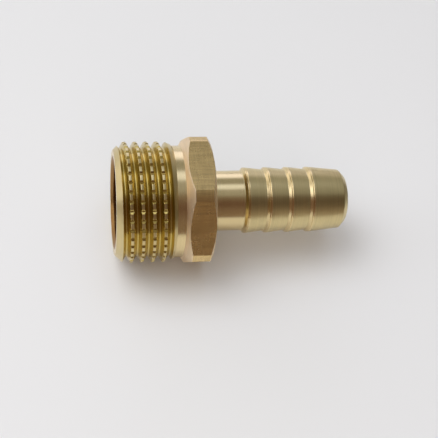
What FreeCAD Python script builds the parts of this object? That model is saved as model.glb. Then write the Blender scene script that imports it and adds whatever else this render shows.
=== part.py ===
import FreeCAD, Part
import math
import os

# Hose tail with a parallel male thread, turned and milled from one piece of brass.
# It is built upright along Z, thread end at Z = 0 and hose end on top, and is then
# laid along +X on one flat of its hexagon. Millimetres.

# Thread: 55 degree form, 14 turns to the inch, right hand
THREAD_D = 20.6
THREAD_PITCH = 25.4 / 14
THREAD_LENGTH = 9.9
FLANK_ANGLE = 27.5
CREST_SHARE = 0.3
ROOT_SHARE = 0.14
CREST_AT_UNDERSIDE = 1.27
LEAD_CHAMFER = 1.35

# Collar and hexagon
COLLAR_D = 19.2
COLLAR_LENGTH = 1.45
ACROSS_FLATS = 21.0
CORNER_TRIM = 0.52
FULL_HEX_LENGTH = 3.1
BEVEL_ANGLE = 30.0

# Hose end
NECK_D = 10.4
FIRST_BARB = 6.6
BARB_COUNT = 4
BARB_PITCH = 3.75
BARB_D = 11.4
BARB_VALLEY_D = 10.7
BARB_STEP = 0.42
BARB_LAND = 0.4
NOSE_LENGTH = 6.15
NOSE_D = 10.3
NOSE_CHAMFER = 0.85

# Waterway
SOCKET_D = 15.0
SOCKET_BACK_WALL = 5.2
SOCKET_MOUTH_CHAMFER = 0.5
DRILL_POINT_ANGLE = 118.0
BORE_D = 7.0

# Places and radii that follow from the sizes above
thread_r = THREAD_D / 2
flank_tan = math.tan(math.radians(FLANK_ANGLE))
thread_depth = THREAD_PITCH * (1 - CREST_SHARE - ROOT_SHARE) / (2 * flank_tan)
root_r = thread_r - thread_depth
collar_r = COLLAR_D / 2
flat_r = ACROSS_FLATS / 2
corner_r = flat_r / math.cos(math.radians(30)) - CORNER_TRIM
bevel_tan = math.tan(math.radians(BEVEL_ANGLE))
neck_r = NECK_D / 2
barb_r = BARB_D / 2
valley_r = BARB_VALLEY_D / 2
nose_r = NOSE_D / 2
socket_r = SOCKET_D / 2
bore_r = BORE_D / 2

z_collar = THREAD_LENGTH
z_front_bevel = z_collar + COLLAR_LENGTH
z_hex = z_front_bevel + (corner_r - collar_r) * bevel_tan
z_back_bevel = z_hex + FULL_HEX_LENGTH
z_hex_face = z_back_bevel + (corner_r - flat_r) * bevel_tan
z_first_barb = z_hex_face + FIRST_BARB
z_last_barb = z_first_barb + (BARB_COUNT - 1) * BARB_PITCH
z_end = z_last_barb + NOSE_LENGTH
z_socket_end = z_hex_face - SOCKET_BACK_WALL


def point(r, z):
    """A point of a turned profile, in the plane that holds the axis."""
    return FreeCAD.Vector(r, 0, z)


def turned(points):
    """Solid turned from the closed outline of (radius, height) points."""
    outline = [point(r, z) for r, z in points]
    face = Part.Face(Part.makePolygon(outline + outline[:1]))
    return face.revolve(FreeCAD.Vector(0, 0, 0), FreeCAD.Vector(0, 0, 1), 360)


def thread_ridge():
    """Helical ridge that runs past both ends of the thread, rooted inside the core."""
    half_crest = THREAD_PITCH * CREST_SHARE / 2
    half_foot = THREAD_PITCH * (1 - ROOT_SHARE) / 2
    inside_r = root_r - thread_depth / 2
    turns_before = math.ceil(CREST_AT_UNDERSIDE / THREAD_PITCH) + 1
    z_start = CREST_AT_UNDERSIDE - turns_before * THREAD_PITCH
    turns = math.ceil((THREAD_LENGTH - z_start) / THREAD_PITCH) + 1
    section = [
        point(inside_r, z_start - half_foot),
        point(root_r, z_start - half_foot),
        point(thread_r, z_start - half_crest),
        point(thread_r, z_start + half_crest),
        point(root_r, z_start + half_foot),
        point(inside_r, z_start + half_foot),
    ]
    wire = Part.makePolygon(section + section[:1])
    path = Part.Wire(Part.makeLongHelix(THREAD_PITCH, turns * THREAD_PITCH, root_r).Edges)
    path.translate(FreeCAD.Vector(0, 0, z_start))
    return path.makePipeShell([wire], True, True)


def threaded_end():
    """Core with its helical ridge, chamfered at the lead and cut square at the collar."""
    core = Part.makeCylinder(root_r, THREAD_LENGTH + 2, FreeCAD.Vector(0, 0, -1))
    envelope = turned([
        (0, 0),
        (thread_r - LEAD_CHAMFER, 0),
        (thread_r + 1, LEAD_CHAMFER + 1),
        (thread_r + 1, THREAD_LENGTH),
        (0, THREAD_LENGTH),
    ])
    return core.fuse(thread_ridge()).common(envelope)


def hexagon():
    """Collar and hexagon: a turned blank bevelled at both ends, with six milled flats."""
    blank = turned([
        (0, z_collar),
        (collar_r, z_collar),
        (collar_r, z_front_bevel),
        (corner_r, z_hex),
        (corner_r, z_back_bevel),
        (flat_r, z_hex_face),
        (0, z_hex_face),
    ])
    sharp_r = flat_r / math.cos(math.radians(30))
    corners = []
    for i in range(6):
        angle = math.radians(60 * i + 30)
        corners.append(FreeCAD.Vector(sharp_r * math.cos(angle), sharp_r * math.sin(angle), z_collar))
    prism = Part.Face(Part.makePolygon(corners + corners[:1]))
    prism = prism.extrude(FreeCAD.Vector(0, 0, z_hex_face - z_collar))
    return blank.common(prism)


def barbed_tail():
    """Neck, barbs with a short land that taper toward the hose end, and nose."""
    outline = [(0, z_hex_face - 1), (neck_r, z_hex_face - 1)]
    foot_r = neck_r
    for i in range(BARB_COUNT):
        z_crest = z_first_barb + i * BARB_PITCH
        outline.append((foot_r, z_crest - BARB_LAND - BARB_STEP))
        outline.append((barb_r, z_crest - BARB_LAND))
        outline.append((barb_r, z_crest))
        foot_r = valley_r
    outline.append((nose_r, z_end - NOSE_CHAMFER))
    outline.append((nose_r - NOSE_CHAMFER, z_end))
    outline.append((0, z_end))
    return turned(outline)


def waterway():
    """Wide socket with a drill-point bottom, then the narrow bore through the tail."""
    drill_tan = math.tan(math.radians(DRILL_POINT_ANGLE / 2))
    z_point = z_socket_end + (socket_r - bore_r) / drill_tan
    return turned([
        (0, -1),
        (socket_r + SOCKET_MOUTH_CHAMFER + 1, -1),
        (socket_r, SOCKET_MOUTH_CHAMFER),
        (socket_r, z_socket_end),
        (bore_r, z_point),
        (bore_r, z_end + 1),
        (0, z_end + 1),
    ])


def hose_barb_tail():
    """The whole piece, laid along +X with one flat of its hexagon underneath."""
    outside = threaded_end().fuse([hexagon(), barbed_tail()])
    solid = outside.cut(waterway()).removeSplitter()
    solid.rotate(FreeCAD.Vector(0, 0, 0), FreeCAD.Vector(0, 1, 0), 90)
    return solid


os.makedirs("parts", exist_ok=True)
piece = hose_barb_tail()
piece.exportStep("parts/hose_barb_tail.step")
centre = piece.CenterOfGravity
print("solids", len(piece.Solids), "valid", piece.isValid(), "volume", round(piece.Volume, 2))
print("length", round(z_end, 3), "centre of mass", [round(v, 3) for v in centre])
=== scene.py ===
import math

import bmesh
import bpy
import numpy as np
from mathutils import Matrix, Vector


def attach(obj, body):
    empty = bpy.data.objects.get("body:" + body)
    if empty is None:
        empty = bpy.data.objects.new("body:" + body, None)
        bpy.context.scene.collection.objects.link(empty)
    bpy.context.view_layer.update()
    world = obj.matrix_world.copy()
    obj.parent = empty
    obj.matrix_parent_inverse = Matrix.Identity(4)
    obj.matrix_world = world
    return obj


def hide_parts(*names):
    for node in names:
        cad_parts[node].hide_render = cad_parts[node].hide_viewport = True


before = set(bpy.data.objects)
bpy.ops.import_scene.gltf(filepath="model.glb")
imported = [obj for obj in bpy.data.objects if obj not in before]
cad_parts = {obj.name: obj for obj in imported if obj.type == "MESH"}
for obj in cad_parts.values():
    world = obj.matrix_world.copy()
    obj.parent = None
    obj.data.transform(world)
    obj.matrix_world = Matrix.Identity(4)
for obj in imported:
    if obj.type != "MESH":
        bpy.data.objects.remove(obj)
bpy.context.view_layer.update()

MM = 0.001

# Thread, in millimetres like every size of the fitting below
THREAD_R = 10.3
ROOT_R = 9.324
THREAD_PITCH = 25.4 / 14
THREAD_LENGTH = 9.9
CREST_WIDTH = 0.40
ROOT_WIDTH = 0.3
CREST_ROUND = 0.12
ROOT_ROUND = 0.5
CREST_AT_UNDERSIDE = 1.27
LEAD_CHAMFER = 1.35
RUNOUT_START = 8.7
RUNOUT_R = 9.75

# Grip notches across the thread's crest. AWAY_FROM_NOTCH is an angle that no notch reaches.
NOTCHES = 40
NOTCH_WIDTH = 0.72
NOTCH_DEPTH = 0.27
NOTCH_TURN = math.radians(-2)
NOTCHED_TO = 8.1
NOTCH_FADE = 0.5
AWAY_FROM_NOTCH = 1

# Collar and hexagon. CORNER_R is a hair under the solid's, so that the skin stays inside its box.
SIDES = 6
COLLAR_R = 9.6
COLLAR_LENGTH = 1.45
FLAT_R = 10.5
CORNER_R = 11.598
FULL_HEX_LENGTH = 3.1
BEVEL_TAN = math.tan(math.radians(30))

# Hose end. RIM_GROOVE says where the fine groove in a barb's land begins, is deepest and ends.
NECK_R = 5.2
NECK_FILLET = 0.35
FIRST_BARB = 6.6
BARBS = 4
BARB_PITCH = 3.75
BARB_R = 5.7
BARB_VALLEY_R = 5.35
BARB_STEP = 0.42
BARB_LAND = 0.4
BARB_ROUND = 0.1
RIM_GROOVE = (0.08, 0.17, 0.28)
RIM_DEPTH = 0.08
NOSE_LENGTH = 6.15
NOSE_R = 5.15
NOSE_CHAMFER = 0.85

# Waterway
SOCKET_R = 7.5
SOCKET_BACK_WALL = 5.2
SOCKET_MOUTH = 0.5
BORE_R = 3.5
DRILL_TAN = math.tan(math.radians(118 / 2))

# Places along the axis
X_COLLAR = THREAD_LENGTH
X_BEVEL = X_COLLAR + COLLAR_LENGTH
X_HEX = X_BEVEL + (CORNER_R - COLLAR_R) * BEVEL_TAN
X_BACK = X_HEX + FULL_HEX_LENGTH
X_FACE = X_BACK + (CORNER_R - FLAT_R) * BEVEL_TAN
X_BARB = X_FACE + FIRST_BARB
X_END = X_BARB + (BARBS - 1) * BARB_PITCH + NOSE_LENGTH
X_SOCKET = X_FACE - SOCKET_BACK_WALL
X_BORE = X_SOCKET + (SOCKET_R - BORE_R) / DRILL_TAN

# Columns of the mesh: round the axis, on one side of the hexagon, in half of its turned corner, on the thread
COLUMNS = 240
SIDE = COLUMNS // SIDES
CORNER_COLUMNS = 3
THREAD_COLUMNS = 2 * COLUMNS

# Rounding of a broken edge, distance of the points that hold a straight beside it, and steps in an arc
EDGE = 0.04
SUPPORT = 0.2
ARC_STEPS = 3

# Largest share of a straight that an arc takes: beside a plain corner, and beside another arc
SHARE_ALONE = 0.95
SHARE_BESIDE_ARC = 0.45

# Largest share of the hexagon's profile between two corners that an edge and a support point take
EDGE_SHARE = 0.3
SUPPORT_SHARE = 0.4

# Columns across a notch in shares of its half width, and the step to the next column in shares of the spacing
NOTCH_SHARES = (-1, -1 / 2, -1 / 12, 1 / 12, 1 / 2, 1)
NOTCH_STEP = 1 / 40

# Degrees between the meeting of flat and corner and the column before it
MEETING_STEP = 1

# Width of the ring where rows of the thread meet rows with half as many columns
RING_GAP = 0.3

# Points closer than this, in metres, are one point
MERGED = 1e-4 * MM

# Stands in for a length of zero where a share of it is worked out
NO_LENGTH = 1e-9


def softened(corners):
    """Profile through (x, r, rounding) corners.

    A corner with a rounding is an arc, with a point close by on both of its straights.
    """
    line = []
    for i, (x, r, rounding) in enumerate(corners):
        here = np.array([x, r])
        if rounding == 0:
            line.append(here)
            continue
        back = np.array(corners[i - 1][:2]) - here
        ahead = np.array(corners[i + 1][:2]) - here
        back_length, ahead_length = np.linalg.norm(back), np.linalg.norm(ahead)
        back, ahead = back / back_length, ahead / ahead_length
        half = math.acos(np.clip(back @ ahead, -1, 1)) / 2
        back_room = back_length * (SHARE_ALONE if corners[i - 1][2] == 0 else SHARE_BESIDE_ARC)
        ahead_room = ahead_length * (SHARE_ALONE if corners[i + 1][2] == 0 else SHARE_BESIDE_ARC)
        reach = min(rounding / math.tan(half), back_room, ahead_room)
        radius = reach * math.tan(half)
        centre = here + (back + ahead) / np.linalg.norm(back + ahead) * radius / math.sin(half)
        if back_room > reach + SUPPORT:
            line.append(here + back * (reach + SUPPORT / 2))
        start = here + back * reach - centre
        end = here + ahead * reach - centre
        turn = math.atan2(start[0] * end[1] - start[1] * end[0], start @ end)
        for step in range(ARC_STEPS + 1):
            c, s = math.cos(turn * step / ARC_STEPS), math.sin(turn * step / ARC_STEPS)
            line.append(centre + np.array([start[0] * c - start[1] * s, start[0] * s + start[1] * c]))
        if ahead_room > reach + SUPPORT:
            line.append(here + ahead * (reach + SUPPORT / 2))
    return np.array(line)


class Skin:
    """Closed skin of the fitting, laid row by row round the axis. Angles start at the underside."""

    def __init__(self):
        self.points = []
        self.faces = []

    def row(self, x, r, angles):
        first = len(self.points)
        x = np.broadcast_to(x, angles.shape)
        r = np.broadcast_to(r, angles.shape)
        xyz = np.stack([x, r * np.sin(angles), -r * np.cos(angles)], -1) * MM
        self.points.extend(xyz.tolist())
        return np.arange(first, first + len(angles))

    def strip(self, a, b):
        """Quads between two rows with as many columns."""
        a_next, b_next = np.roll(a, -1), np.roll(b, -1)
        self.faces.extend(np.stack([a, a_next, b_next, b], -1).tolist())

    def coarse_to_fine(self, a, b):
        """Three triangles from each column of row a to two columns of row b."""
        for i in range(len(a)):
            a0, a1 = a[i], a[(i + 1) % len(a)]
            b0, b1, b2 = b[2 * i], b[2 * i + 1], b[(2 * i + 2) % len(b)]
            self.faces += [[a0, b1, b0], [a0, a1, b1], [a1, b2, b1]]

    def fine_to_coarse(self, a, b):
        """The same from a fine row a to a coarse row b."""
        for i in range(len(b)):
            b0, b1 = b[i], b[(i + 1) % len(b)]
            a0, a1, a2 = a[2 * i], a[2 * i + 1], a[(2 * i + 2) % len(a)]
            self.faces += [[a0, a1, b0], [a1, b1, b0], [a1, a2, b1]]

    def mesh(self, name):
        work = bmesh.new()
        verts = [work.verts.new(p) for p in self.points]
        for face in self.faces:
            if len(set(face)) == len(face):
                work.faces.new([verts[i] for i in face])
        bmesh.ops.remove_doubles(work, verts=work.verts, dist=MERGED)
        bmesh.ops.dissolve_degenerate(work, edges=work.edges, dist=MERGED)
        bmesh.ops.recalc_face_normals(work, faces=work.faces)
        made = bpy.data.meshes.new(name)
        work.to_mesh(made)
        work.free()
        return made


def even_angles(count):
    return np.arange(count) * 2 * np.pi / count


def notch_columns():
    """Angles of the thread's columns, gathered at the edges and the bottom of every notch."""
    spacing = 2 * np.pi / NOTCHES
    half = NOTCH_WIDTH / 2 / THREAD_R
    across = half * np.array(NOTCH_SHARES)
    begin = half + spacing * NOTCH_STEP
    land = np.linspace(begin, spacing - begin, THREAD_COLUMNS // NOTCHES - len(across))
    local = np.concatenate([across, land])
    angles = (np.arange(NOTCHES)[:, None] * spacing + local[None, :]).ravel() + NOTCH_TURN
    before = np.count_nonzero(angles < 0)
    angles[:before] += 2 * np.pi
    return np.roll(angles, -before), np.roll(np.tile(local, NOTCHES), -before)


def crest_limit(x, from_notch):
    """Largest radius that the lead chamfer, the run-out and a notch leave at x."""
    lead = THREAD_R - LEAD_CHAMFER + x
    runout = np.interp(x, [RUNOUT_START, THREAD_LENGTH], [THREAD_R, RUNOUT_R])
    half = NOTCH_WIDTH / 2 / THREAD_R
    depth = NOTCH_DEPTH * np.interp(x, [NOTCHED_TO, NOTCHED_TO + NOTCH_FADE], [1, 0])
    notch = THREAD_R - depth * max(0, 1 - abs(from_notch) / half)
    return np.minimum(np.minimum(lead, runout), notch)


def thread_profile():
    """One pitch of the thread from root to root, as distance from the crest's middle and radius."""
    half = softened([
        (0, THREAD_R, 0),
        (CREST_WIDTH / 2, THREAD_R, CREST_ROUND),
        (THREAD_PITCH / 2 - ROOT_WIDTH / 2, ROOT_R, ROOT_ROUND),
        (THREAD_PITCH / 2, ROOT_R, 0),
    ])
    left = half[:0:-1] * [-1, 1]
    return np.concatenate([left, half[:-1]])


def thread_column(turn, from_notch, profile):
    """The thread's outline in one plane through the axis, cut to its length and to the crest's limit."""
    first = -math.ceil(CREST_AT_UNDERSIDE / THREAD_PITCH) - 1
    last = math.ceil((THREAD_LENGTH - CREST_AT_UNDERSIDE) / THREAD_PITCH)
    crests = CREST_AT_UNDERSIDE + THREAD_PITCH * (np.arange(first, last + 1) + turn)
    x = (crests[:, None] + profile[None, :, 0]).ravel()
    r = np.tile(profile[:, 1], len(crests))
    r = np.interp(np.clip(x, 0, THREAD_LENGTH), x, r)
    x = np.clip(x, 0, THREAD_LENGTH)
    over = r - crest_limit(x, from_notch)
    for j in np.nonzero(over[:-1] * over[1:] < 0)[0]:
        t = over[j] / (over[j] - over[j + 1])
        if x[j + 1] == x[j]:
            continue
        near = j if t < 0.5 else j + 1
        x_cut = x[j] + t * (x[j + 1] - x[j])
        r_cut = r[j] + t * (r[j + 1] - r[j])
        if 0 < x[near] < THREAD_LENGTH:
            x[near], r[near] = x_cut, r_cut
    return x, np.minimum(r, crest_limit(x, from_notch))


def thread(skin):
    """Rows that follow the helix. Returns the rows at the thread's start and end."""
    angles, from_notch = notch_columns()
    profile = thread_profile()
    columns = [thread_column(a / (2 * np.pi), n, profile) for a, n in zip(angles, from_notch)]
    xs = np.array([c[0] for c in columns]).T
    rs = np.array([c[1] for c in columns]).T
    rows = [skin.row(x, r, angles) for x, r in zip(xs, rs)]
    pitch_rows = len(profile)
    for j in range(len(rows) - 1):
        a, b = rows[j], rows[j + 1]
        skin.faces.extend(np.stack([a[:-1], a[1:], b[1:], b[:-1]], -1).tolist())
        if j + 1 + pitch_rows < len(rows):
            skin.faces.append([a[-1], rows[j + pitch_rows][0], rows[j + 1 + pitch_rows][0], b[-1]])
    return rows[0], rows[-1]


def hexagon_angles():
    """Columns of the hexagon, gathered where each flat meets the turned corners."""
    meeting = math.degrees(math.acos(FLAT_R / CORNER_R))
    side_degrees = 360 / SIDES
    half = SIDE // 2
    corner = half - CORNER_COLUMNS
    knots = [0, corner - 1, corner, half]
    values = [0, meeting - MEETING_STEP, meeting, side_degrees / 2]
    local = np.arange(-half, half)
    degrees = np.sign(local) * np.interp(np.abs(local), knots, values)
    degrees = np.roll(degrees, -half)
    sides = np.arange(SIDES)[:, None] * side_degrees + degrees[None, :]
    sides[:, half:] += side_degrees
    return np.radians(sides.ravel()), np.radians(np.tile(degrees, SIDES))


def hexagon(skin):
    """Rows over the front bevel, the flats with their turned corners, and the back bevel."""
    angles, local = hexagon_angles()
    r_flat = np.minimum(FLAT_R / np.cos(local), CORNER_R)
    corners = [
        (np.full_like(local, X_BEVEL), np.full_like(local, COLLAR_R)),
        (X_BEVEL + (r_flat - COLLAR_R) * BEVEL_TAN, r_flat),
        (X_BACK + (CORNER_R - r_flat) * BEVEL_TAN, r_flat),
        (np.full_like(local, X_FACE), np.full_like(local, FLAT_R)),
        (np.full_like(local, X_FACE), np.full_like(local, FLAT_R - 2 * SUPPORT)),
    ]
    rows = [skin.row(*corners[0], angles)]
    for (xa, ra), (xb, rb) in zip(corners, corners[1:]):
        length = np.maximum(np.hypot(xb - xa, rb - ra), NO_LENGTH)
        edge = np.minimum(EDGE / length, EDGE_SHARE)
        support = np.minimum(SUPPORT / length, SUPPORT_SHARE)
        begin = [] if xa is corners[0][0] else [edge, support]
        for share in begin + [1 - support, 1 - edge]:
            rows.append(skin.row(xa + share * (xb - xa), ra + share * (rb - ra), angles))
    return rows


def turned_rows(skin, profile):
    return [skin.row(x, r, even_angles(COLUMNS)) for x, r in profile]


def collar_profile():
    return softened([
        (X_COLLAR, COLLAR_R - RING_GAP / 2, 0),
        (X_COLLAR, COLLAR_R, EDGE),
        (X_BEVEL - EDGE, COLLAR_R, 0),
    ])


def tail_profile():
    """Back face, neck, barbs, nose, and back through the waterway to the thread's end face."""
    corners = [(X_FACE, FLAT_R - 3 * SUPPORT, 0), (X_FACE, NECK_R, NECK_FILLET)]
    foot = NECK_R
    for i in range(BARBS):
        crest = X_BARB + i * BARB_PITCH
        land = crest - BARB_LAND
        corners += [(land - BARB_STEP, foot, BARB_ROUND), (land, BARB_R, EDGE)]
        for place, depth in zip(RIM_GROOVE, (0, RIM_DEPTH, 0)):
            corners.append((land + place, BARB_R - depth, 0))
        corners.append((crest, BARB_R, BARB_ROUND))
        foot = BARB_VALLEY_R
    corners += [
        (X_END - NOSE_CHAMFER, NOSE_R, EDGE),
        (X_END, NOSE_R - NOSE_CHAMFER, EDGE),
        (X_END, BORE_R, 2 * EDGE),
        (X_BORE, BORE_R, EDGE),
        (X_SOCKET, SOCKET_R, EDGE),
        (SOCKET_MOUTH, SOCKET_R, EDGE),
        (0, SOCKET_R + SOCKET_MOUTH, EDGE),
        (0, THREAD_R - LEAD_CHAMFER - RING_GAP, 0),
    ]
    return softened(corners)


def fitting_mesh():
    skin = Skin()
    start, end = thread(skin)
    coarse = turned_rows(skin, collar_profile()) + hexagon(skin) + turned_rows(skin, tail_profile())
    skin.fine_to_coarse(end, coarse[0])
    for a, b in zip(coarse, coarse[1:]):
        skin.strip(a, b)
    skin.coarse_to_fine(coarse[-1], start)
    return skin.mesh("hose_barb_tail_skin")


class Nodes:
    """Short way to add and join shader nodes."""

    def __init__(self, tree):
        self.tree = tree
        tree.nodes.clear()

    def add(self, kind, inputs=(), **settings):
        node = self.tree.nodes.new(kind)
        for key, value in settings.items():
            setattr(node, key, value)
        for key, value in dict(inputs).items():
            if isinstance(value, bpy.types.NodeSocket):
                self.tree.links.new(value, node.inputs[key])
            else:
                node.inputs[key].default_value = value
        return node

    def math(self, operation, a, b=0.0):
        return self.add("ShaderNodeMath", {0: a, 1: b}, operation=operation).outputs[0]

    def noise(self, place, scale, detail):
        inputs = {"Vector": place, "Scale": scale, "Detail": detail, "Roughness": NOISE_ROUGHNESS}
        return self.add("ShaderNodeTexNoise", inputs).outputs[0]

    def spread(self, noise, low, high):
        """The middle range of a noise, stretched from low to high."""
        inputs = {0: noise, 1: NOISE_RANGE[0], 2: NOISE_RANGE[1], 3: low, 4: high}
        return self.add("ShaderNodeMapRange", inputs).outputs[0]

    def ramp(self, factor, stops):
        node = self.add("ShaderNodeValToRGB", {0: factor})
        band = node.color_ramp.elements
        while len(band) < len(stops):
            band.new(0.5)
        for element, (place, colour) in zip(band, stops):
            element.position = place
            element.color = (*colour, 1)
        return node.outputs[0]


# Colours of the brass on the turned, milled, threaded, drilled, bevelled and barbed surfaces. The turned
# colour is the brass's own; the milled, threaded and barbed ones are darkened as painted shade, the drilled
# one is darker still as painted shade in the waterway, and the bevelled one is paler as a painted highlight.
BRASS = (0.80, 0.64, 0.34)
# Darker, warmer brass as painted shade on the hexagon's flats
MILLED_BRASS_PAINTED_SHADE = (0.73, 0.53, 0.235)
# Darker, more saturated brass as painted shade in the thread's grooves
THREAD_GROOVE_PAINTED_SHADE = (0.60, 0.455, 0.14)
# Dark brass as painted shade inside the socket and bore
WATERWAY_PAINTED_SHADE = (0.34, 0.19, 0.065)
# Paler brass as a painted highlight on the hexagon's bevels
BEVEL_PAINTED_HIGHLIGHT = (0.92, 0.75, 0.52)
# Brass darkened as painted shade; the barbs, the thread's crests and its lead chamfer share it
BARB_BRASS_PAINTED_SHADE = (0.70, 0.575, 0.295)

# Noise in the marks and the cloudiness, and how far they change tone and gloss
NOISE_ROUGHNESS = 0.6
NOISE_RANGE = (0.3, 0.7)
MARK_DETAIL = 2.0
MARK_CONTRAST = 0.08
MEAN_TONE = 0.98
CLOUD_SCALE = 300.0
CLOUD_DETAIL = 4.0
CLOUD_TONE = (0.95, 1.04)
GLOSS_SPREAD = 0.04

# Lines left by the milling cutter: how each set is stretched, and its share of the height
MILLING_LINES = [((0.05, 1, 1), 0.6), ((1, 0.07, 0.07), 0.4)]


def turning_marks(n, place, spacing):
    """Rings round the axis: noise that depends on the place along it and on the radius only."""
    split = n.add("ShaderNodeSeparateXYZ", {0: place})
    y, z = (n.math("POWER", n.math("ABSOLUTE", split.outputs[i]), 2.0) for i in (1, 2))
    radius = n.math("SQRT", n.math("ADD", y, z))
    across = n.add("ShaderNodeCombineXYZ", {0: split.outputs[0], 1: radius}).outputs[0]
    return n.noise(across, 1 / (spacing * MM), MARK_DETAIL)


def milling_marks(n, place, spacing):
    """Fine lines along the axis, crossed by weaker ones."""
    marks = []
    for stretch, share in MILLING_LINES:
        drawn = n.add("ShaderNodeVectorMath", {0: place, 1: stretch}, operation="MULTIPLY").outputs[0]
        marks.append(n.math("MULTIPLY", n.noise(drawn, 1 / (spacing * MM), MARK_DETAIL), share))
    return n.math("ADD", *marks)


def brass(name, colour, roughness, marks, spacing, depth, contrast):
    """Bare brass with the marks of its cutting tool and a little cloudiness in its colour and gloss."""
    material = bpy.data.materials.new(name)
    material.use_nodes = True
    n = Nodes(material.node_tree)
    place = n.add("ShaderNodeTexCoord").outputs["Object"]
    height = marks(n, place, spacing)
    cloud = n.noise(place, CLOUD_SCALE, CLOUD_DETAIL)
    gloss_range = {0: cloud, 3: roughness - GLOSS_SPREAD, 4: roughness + GLOSS_SPREAD}
    gloss = n.add("ShaderNodeMapRange", gloss_range).outputs[0]
    tone = n.spread(height, MEAN_TONE - contrast, MEAN_TONE + contrast)
    tone = n.math("MULTIPLY", tone, n.spread(cloud, *CLOUD_TONE))
    tint = n.add("ShaderNodeVectorMath", {0: colour, 3: tone}, operation="SCALE").outputs[0]
    bump = n.add("ShaderNodeBump", {"Height": height, "Strength": 1.0, "Distance": depth * MM}).outputs[0]
    shader = n.add("ShaderNodeBsdfPrincipled", {
        "Base Color": tint,
        "Metallic": 1.0,
        "Roughness": gloss,
        "Normal": bump,
    })
    n.add("ShaderNodeOutputMaterial", {"Surface": shader.outputs[0]})
    return material


# Name, colour, roughness, marks with their spacing and depth in millimetres, and contrast of the marks
SURFACES = [
    ("brass_turned", BRASS, 0.22, turning_marks, 0.13, 0.009, MARK_CONTRAST),
    ("brass_milled_painted_shade", MILLED_BRASS_PAINTED_SHADE, 0.27, milling_marks, 0.23, 0.010, 0.22),
    ("brass_barbs_painted_shade", BARB_BRASS_PAINTED_SHADE, 0.30, turning_marks, 0.13, 0.004, MARK_CONTRAST),
    ("brass_drilled_painted_shade", WATERWAY_PAINTED_SHADE, 0.24, turning_marks, 0.25, 0.010, MARK_CONTRAST),
    ("brass_thread_painted_shade", THREAD_GROOVE_PAINTED_SHADE, 0.20, turning_marks, 0.13, 0.004, MARK_CONTRAST),
    ("brass_bevel_painted_highlight", BEVEL_PAINTED_HIGHLIGHT, 0.50, turning_marks, 0.13, 0.012, MARK_CONTRAST),
]
TURNED, MILLED, BARBED, DRILLED, THREADED, BEVELLED = range(len(SURFACES))

# Where one surface gives way to the next: how far below its crest a flank ends, how far a flat's normal may
# lean along the axis, how far before the first barb its brass begins, and the turned ring round the bore
CREST_SKIN = 0.06
FLAT_NORMAL = 0.2
BARBED_AHEAD = 1.0
NOSE_RING = 0.3

# Faces that meet at more than this have a sharp edge
SHARP_ANGLE = math.radians(23)


def surface_at(x, r, normal_x):
    """Surface of a face with its middle at x and radius r, in millimetres.

    The thread's crests and its lead chamfer have the same brass as the barbs.
    """
    # Thread flanks and roots: darker brass as painted shade in the grooves
    if x < X_COLLAR and ROOT_R < r < crest_limit(x, AWAY_FROM_NOTCH) - CREST_SKIN:
        return THREADED
    # Crests and lead chamfer take the barbs' brass, darkened as painted shade
    if EDGE < x < X_COLLAR and r > ROOT_R - LEAD_CHAMFER:
        return BARBED
    if X_BEVEL < x < X_FACE and r > COLLAR_R:
        # Flats: darkened brass as painted shade; bevels: paler brass as a painted highlight
        return MILLED if abs(normal_x) < FLAT_NORMAL else BEVELLED
    if x > X_BARB - BARBED_AHEAD and r > BORE_R + NOSE_RING:
        from_crest = (x - X_BARB + BARB_PITCH / 2) % BARB_PITCH - BARB_PITCH / 2
        on_rim = x < X_END - NOSE_LENGTH and -BARB_LAND - BARB_STEP < from_crest < 0
        # Barbs: darkened brass as painted shade; the rims keep the plain turned brass
        return TURNED if on_rim else BARBED
    # Socket and bore: dark brass as painted shade inside the waterway
    if x < X_BORE and r < SOCKET_R + SOCKET_MOUTH - EDGE / 2:
        return DRILLED
    return TURNED


def make_fitting():
    mesh = fitting_mesh()
    piece = bpy.data.objects.new("hose_barb_tail_skin", mesh)
    bpy.context.scene.collection.objects.link(piece)
    for surface in SURFACES:
        mesh.materials.append(brass(*surface))
    for face in mesh.polygons:
        x, y, z = (c / MM for c in face.center)
        face.material_index = surface_at(x, math.hypot(y, z), face.normal.x)
    mesh.shade_smooth()
    mesh.set_sharp_from_angle(angle=SHARP_ANGLE)
    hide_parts("hose_barb_tail")
    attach(piece, "root")


# Camera: where the photograph was taken from, in the fitting's own frame. FOCAL and AIM_PIXEL are in pixels
# of the square picture. AIM_PIXEL shows the point AIM_X of the axis, AIM_DEPTH millimetres along the view.
IMAGE = 438
FOCAL = 930.0
SENSOR = 36.0
AXIS_TILT = math.radians(9.975)
AXIS_RISE = math.radians(1.26)
ROUND_AXIS = math.radians(33.0)
AIM_X = 12.64
AIM_PIXEL = (186.77, 201.24)
AIM_DEPTH = 160.61
CLIP_START = 0.01


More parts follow.
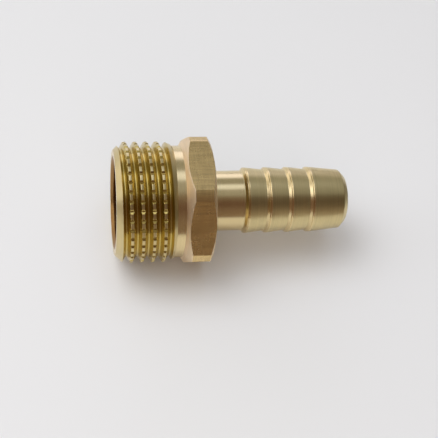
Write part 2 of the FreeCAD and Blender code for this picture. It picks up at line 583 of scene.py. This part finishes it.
def make_camera():
    """The axis is seen tilted and rising a little, the thread's end nearer, from above the near side."""
    level = math.cos(AXIS_TILT)
    axis = Vector((level * math.cos(AXIS_RISE), -level * math.sin(AXIS_RISE), math.sin(AXIS_TILT)))
    image_up = Vector((0, -1, 0))
    image_up = (image_up - axis * image_up.dot(axis)).normalized()
    toward = axis.cross(image_up)
    up = toward * math.cos(ROUND_AXIS) + image_up * math.sin(ROUND_AXIS)
    side = up.cross(axis)
    to_frame = Matrix((axis, side, up))
    aim = Vector(((AIM_PIXEL[0] - IMAGE / 2) / FOCAL, (AIM_PIXEL[1] - IMAGE / 2) / FOCAL, 1)) * AIM_DEPTH
    place = to_frame @ (axis * AIM_X - aim) * MM
    right, above, back = (to_frame @ Vector(v) for v in ((1, 0, 0), (0, -1, 0), (0, 0, -1)))
    camera = bpy.data.objects.new("camera", bpy.data.cameras.new("camera"))
    camera.data.lens = FOCAL / IMAGE * SENSOR
    camera.data.sensor_width = SENSOR
    camera.data.clip_start = CLIP_START
    camera.matrix_world = Matrix.Translation(place) @ Matrix((right, above, back)).transposed().to_4x4()
    bpy.context.scene.collection.objects.link(camera)
    bpy.context.scene.camera = camera


# Floor in metres: it ends outside the picture in front of the fitting and beyond the hose end,
# so that the brass mirrors the room there
FLOOR_COLOUR = (0.80, 0.805, 0.80)
FLOOR_ROUGHNESS = 0.9
FLOOR_SPECULAR = 0.1
FLOOR_REACH = 1.5
FLOOR_FRONT = 0.06
FLOOR_HOSE_END = 0.085


def make_floor():
    mesh = bpy.data.meshes.new("floor")
    far, near, right, z = FLOOR_REACH, -FLOOR_FRONT, FLOOR_HOSE_END, -FLAT_R * MM
    corners = [(-far, near, z), (right, near, z), (right, far, z), (-far, far, z)]
    mesh.from_pydata(corners, [], [(0, 1, 2, 3)])
    floor = bpy.data.objects.new("floor", mesh)
    bpy.context.scene.collection.objects.link(floor)
    material = bpy.data.materials.new("floor_paint")
    material.use_nodes = True
    n = Nodes(material.node_tree)
    shader = n.add("ShaderNodeBsdfPrincipled", {
        "Base Color": (*FLOOR_COLOUR, 1),
        "Roughness": FLOOR_ROUGHNESS,
        "Specular IOR Level": FLOOR_SPECULAR,
    })
    n.add("ShaderNodeOutputMaterial", {"Surface": shader.outputs[0]})
    mesh.materials.append(material)


# The room by height round the fitting's axis: degrees from the near horizon over the top to the far one,
# and at each height the colour toward the thread's end, square to the axis and toward the hose end.
NEAR_DARK = (0.15, 0.090, 0.068)
RIGHT_DARK = (0.11, 0.087, 0.068)
LEFT_DARK = (0.17, 0.105, 0.075)
ROOM = [
    (0, (0.24, 0.16, 0.12), (0.225, 0.160, 0.120), (0.36, 0.30, 0.25)),
    (20, LEFT_DARK, (0.21, 0.148, 0.120), (0.19, 0.15, 0.12)),
    (38, LEFT_DARK, NEAR_DARK, RIGHT_DARK),
    (47, LEFT_DARK, NEAR_DARK, RIGHT_DARK),
    (57, LEFT_DARK, (0.19, 0.135, 0.108), RIGHT_DARK),
    (66, LEFT_DARK, (0.23, 0.180, 0.145), RIGHT_DARK),
    (78, (1.3, 1.3, 1.4), (0.40, 0.40, 0.40), (0.34, 0.34, 0.33)),
    (98, (1.6, 1.6, 1.7), (0.40, 0.40, 0.40), (0.34, 0.34, 0.33)),
    (102, (1.7, 1.7, 1.9), (1.05, 1.12, 1.35), (0.36, 0.36, 0.35)),
    (118, (1.7, 1.7, 1.9), (1.05, 1.12, 1.35), (0.36, 0.36, 0.35)),
    (121, (0.75, 0.72, 0.68), (0.33, 0.33, 0.31), (0.36, 0.36, 0.35)),
    (148, (0.75, 0.72, 0.68), (0.33, 0.33, 0.31), (0.36, 0.36, 0.35)),
    (157, (1.15, 1.10, 1.10), (1.30, 1.32, 1.65), (0.46, 0.43, 0.42)),
    (180, (1.15, 1.10, 1.10), (1.30, 1.32, 1.65), (0.46, 0.43, 0.42)),
]
HOSE_END_DARK = (0.13, 0.11, 0.075)

# How far a direction points along the axis where the colour of the thread's end, of the hose end and of the
# dark beyond it begins, and where it is full
LEFT_SHARE = (-0.15, -0.45)
RIGHT_SHARE = (0.22, 0.42)
HOSE_END_SHARE = (0.60, 0.85)


def make_room():
    world = bpy.data.worlds.new("room")
    bpy.context.scene.world = world
    world.use_nodes = True
    n = Nodes(world.node_tree)
    split = n.add("ShaderNodeSeparateXYZ", {0: n.add("ShaderNodeTexCoord").outputs["Generated"]})
    height = n.math("ARCTAN2", split.outputs[2], n.math("MULTIPLY", split.outputs[1], -1.0))
    height = n.math("DIVIDE", height, math.pi)
    left, middle, right = (n.ramp(height, [(row[0] / 180, row[i]) for row in ROOM]) for i in (1, 2, 3))
    sides = [(left, LEFT_SHARE), (right, RIGHT_SHARE), ((*HOSE_END_DARK, 1), HOSE_END_SHARE)]
    colour = middle
    for side, (begin, end) in sides:
        along = {0: split.outputs[0], 1: begin, 2: end}
        share = n.add("ShaderNodeMapRange", along, interpolation_type="SMOOTHSTEP").outputs[0]
        colour = n.add("ShaderNodeMix", {0: share, 6: colour, 7: side}, data_type="RGBA").outputs[2]
    background = n.add("ShaderNodeBackground", {"Color": colour, "Strength": 1.0})
    n.add("ShaderNodeOutputWorld", {"Surface": background.outputs[0]})


# Soft panels: two above the far side, a little toward the thread's end, and a warm one on the near side.
# The room alone is mirrored in the brass. Name, direction, distance and diameter in metres, watts and colour,
# with PANELS_ROUND as the point that they face.
PANELS = [
    ("key_panel", (-0.38, 0.14, 0.90), 0.36, 0.22, 0.26, (1, 1, 1)),
    ("wide_panel", (-0.25, 0.05, 0.95), 0.60, 0.80, 1.03, (0.92, 0.985, 1)),
    ("near_panel", (-0.10, -0.75, 0.65), 0.50, 0.50, 0.65, (1, 0.90, 0.82)),
]
PANELS_ROUND = Vector((0.015, 0, 0))


def make_lamps():
    for name, direction, distance, size, power, colour in PANELS:
        direction = Vector(direction).normalized()
        data = bpy.data.lights.new(name, "AREA")
        data.shape = "DISK"
        data.size = size
        data.energy = power
        data.color = colour
        lamp = bpy.data.objects.new(name, data)
        lamp.location = direction * distance + PANELS_ROUND
        lamp.rotation_mode = "QUATERNION"
        lamp.rotation_quaternion = direction.to_track_quat("Z", "Y")
        lamp.visible_glossy = False
        bpy.context.scene.collection.objects.link(lamp)


make_camera()
make_floor()
make_room()
make_lamps()
make_fitting()
bpy.context.scene.view_settings.view_transform = "Standard"
